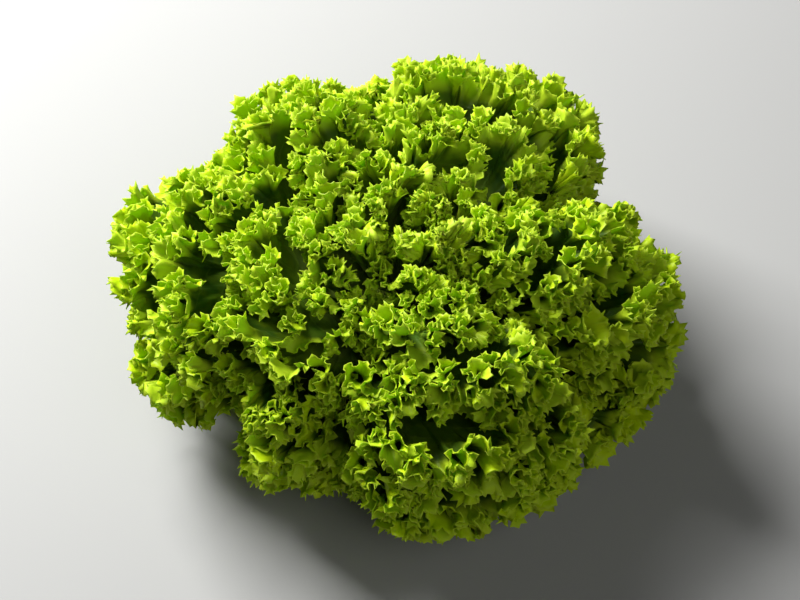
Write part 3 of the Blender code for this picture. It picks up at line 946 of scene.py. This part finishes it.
class LETTUCE_OT_stem(bpy.types.Operator):
    """Make the stem, with its cut face underneath"""

    bl_idname = "lettuce.stem"
    bl_label = "Stem"

    def execute(self, context):
        _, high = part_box("stem")
        piece = mesh_object("cut_stem", *stem_shell(high.z / MM), stem_finish(context.scene.lettuce_colours))
        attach(piece, BODY)
        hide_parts("stem")
        return {"FINISHED"}


class LETTUCE_OT_outer_leaves(bpy.types.Operator):
    """Make the outer leaves, with their frill, teeth and veins"""

    bl_idname = "lettuce.outer_leaves"
    bl_label = "Outer leaves"

    def execute(self, context):
        finish = leaf_finish("leaf_green", context.scene.lettuce_colours, 0.0)
        dress_leaves(context, slice(0, LEAF_COUNT - HEART_LEAVES), finish)
        return {"FINISHED"}


class LETTUCE_OT_heart_leaves(bpy.types.Operator):
    """Make the small pale leaves of the heart"""

    bl_idname = "lettuce.heart_leaves"
    bl_label = "Heart leaves"

    def execute(self, context):
        finish = leaf_finish("heart_green", context.scene.lettuce_colours, 0.15)
        dress_leaves(context, slice(LEAF_COUNT - HEART_LEAVES, LEAF_COUNT), finish)
        return {"FINISHED"}


class LETTUCE_OT_studio(bpy.types.Operator):
    """Make the pale floor, the soft lights and the camera"""

    bl_idname = "lettuce.studio"
    bl_label = "Studio"

    FLOOR_HALF_SIDE = 3.0
    FLOOR_SHADE = 0.96
    FLOOR_MOTTLE_SIZE = 400.0
    KEY_PLACE = (-0.75, 0.75, 0.95)
    KEY_SIZE = 0.8
    FILL_PLACE = (0.7, -0.9, 1.2)
    FILL_SIZE = 1.2
    AIM = (0.001, -0.0065, 0.0574)
    MIDDLE = (0.0, 0.0, 0.06)

    def turned_to(self, place, target):
        return (Vector(target) - Vector(place)).to_track_quat("-Z", "Y").to_euler()

    def lay_floor(self, context, colour):
        finish = Finish("floor_paper")
        shade = tuple(self.FLOOR_SHADE * part for part in colour)
        tint = finish.blend(finish.noise(self.FLOOR_MOTTLE_SIZE), colour, shade)
        surface = finish.node("ShaderNodeBsdfPrincipled", {}, {"Base Color": tint, "Roughness": 0.8})
        finish.node("ShaderNodeOutputMaterial", {}, {"Surface": surface})
        bpy.ops.mesh.primitive_plane_add(size=2 * self.FLOOR_HALF_SIDE)
        floor = context.active_object
        floor.name = "floor"
        floor.data.materials.append(finish.material)

    def add_light(self, scene, name, place, size, power):
        light = bpy.data.lights.new(name, "AREA")
        light.size, light.energy = size, power
        made = bpy.data.objects.new(name, light)
        made.location = place
        made.rotation_euler = self.turned_to(place, self.MIDDLE)
        scene.collection.objects.link(made)

    def surround(self, scene, brightness):
        world = bpy.data.worlds.new("studio")
        world.use_nodes = True
        background = world.node_tree.nodes["Background"]
        background.inputs["Color"].default_value = (1.0, 1.0, 1.0, 1.0)
        background.inputs["Strength"].default_value = brightness
        scene.world = world

    def place_camera(self, scene, studio):
        lens = bpy.data.cameras.new("camera")
        lens.lens = studio.lens
        camera = bpy.data.objects.new("camera", lens)
        back = Vector((0.0, -math.cos(studio.elevation), math.sin(studio.elevation)))
        camera.location = Vector(self.AIM) + back * studio.distance
        camera.rotation_euler = self.turned_to(camera.location, self.AIM)
        scene.collection.objects.link(camera)
        scene.camera = camera

    def execute(self, context):
        scene = context.scene
        studio = scene.lettuce_studio
        self.lay_floor(context, colour_of(studio.floor))
        self.add_light(scene, "key_light", self.KEY_PLACE, self.KEY_SIZE, studio.key_power)
        self.add_light(scene, "fill_light", self.FILL_PLACE, self.FILL_SIZE, studio.fill_power)
        self.surround(scene, studio.sky)
        self.place_camera(scene, studio)
        scene.view_settings.view_transform = "Standard"
        return {"FINISHED"}


class LETTUCE_PT_head(bpy.types.Panel):
    """The lettuce's pieces and settings"""

    bl_label = "Green leaf lettuce"
    bl_idname = "LETTUCE_PT_head"
    bl_space_type = "VIEW_3D"
    bl_region_type = "UI"
    bl_category = "Lettuce"

    def draw(self, context):
        for operator in OPERATORS:
            self.layout.operator(operator.bl_idname)
        scene = context.scene
        for settings in (scene.lettuce_frill, scene.lettuce_colours, scene.lettuce_studio):
            box = self.layout.box()
            for name in settings.__annotations__:
                box.prop(settings, name)


SETTINGS = {
    "lettuce_frill": LettuceFrill,
    "lettuce_colours": LettuceColours,
    "lettuce_studio": LettuceStudio,
}
OPERATORS = (LETTUCE_OT_stem, LETTUCE_OT_outer_leaves, LETTUCE_OT_heart_leaves, LETTUCE_OT_studio)


def register():
    for made in (*SETTINGS.values(), *OPERATORS, LETTUCE_PT_head):
        bpy.utils.register_class(made)
    for name, group in SETTINGS.items():
        setattr(bpy.types.Scene, name, bpy.props.PointerProperty(type=group))


def unregister():
    for name in SETTINGS:
        delattr(bpy.types.Scene, name)
    for made in (LETTUCE_PT_head, *reversed(OPERATORS), *reversed(SETTINGS.values())):
        bpy.utils.unregister_class(made)


def main():
    register()
    bpy.ops.lettuce.stem()
    bpy.ops.lettuce.outer_leaves()
    bpy.ops.lettuce.heart_leaves()
    bpy.ops.lettuce.studio()


if __name__ == "__main__":
    main()
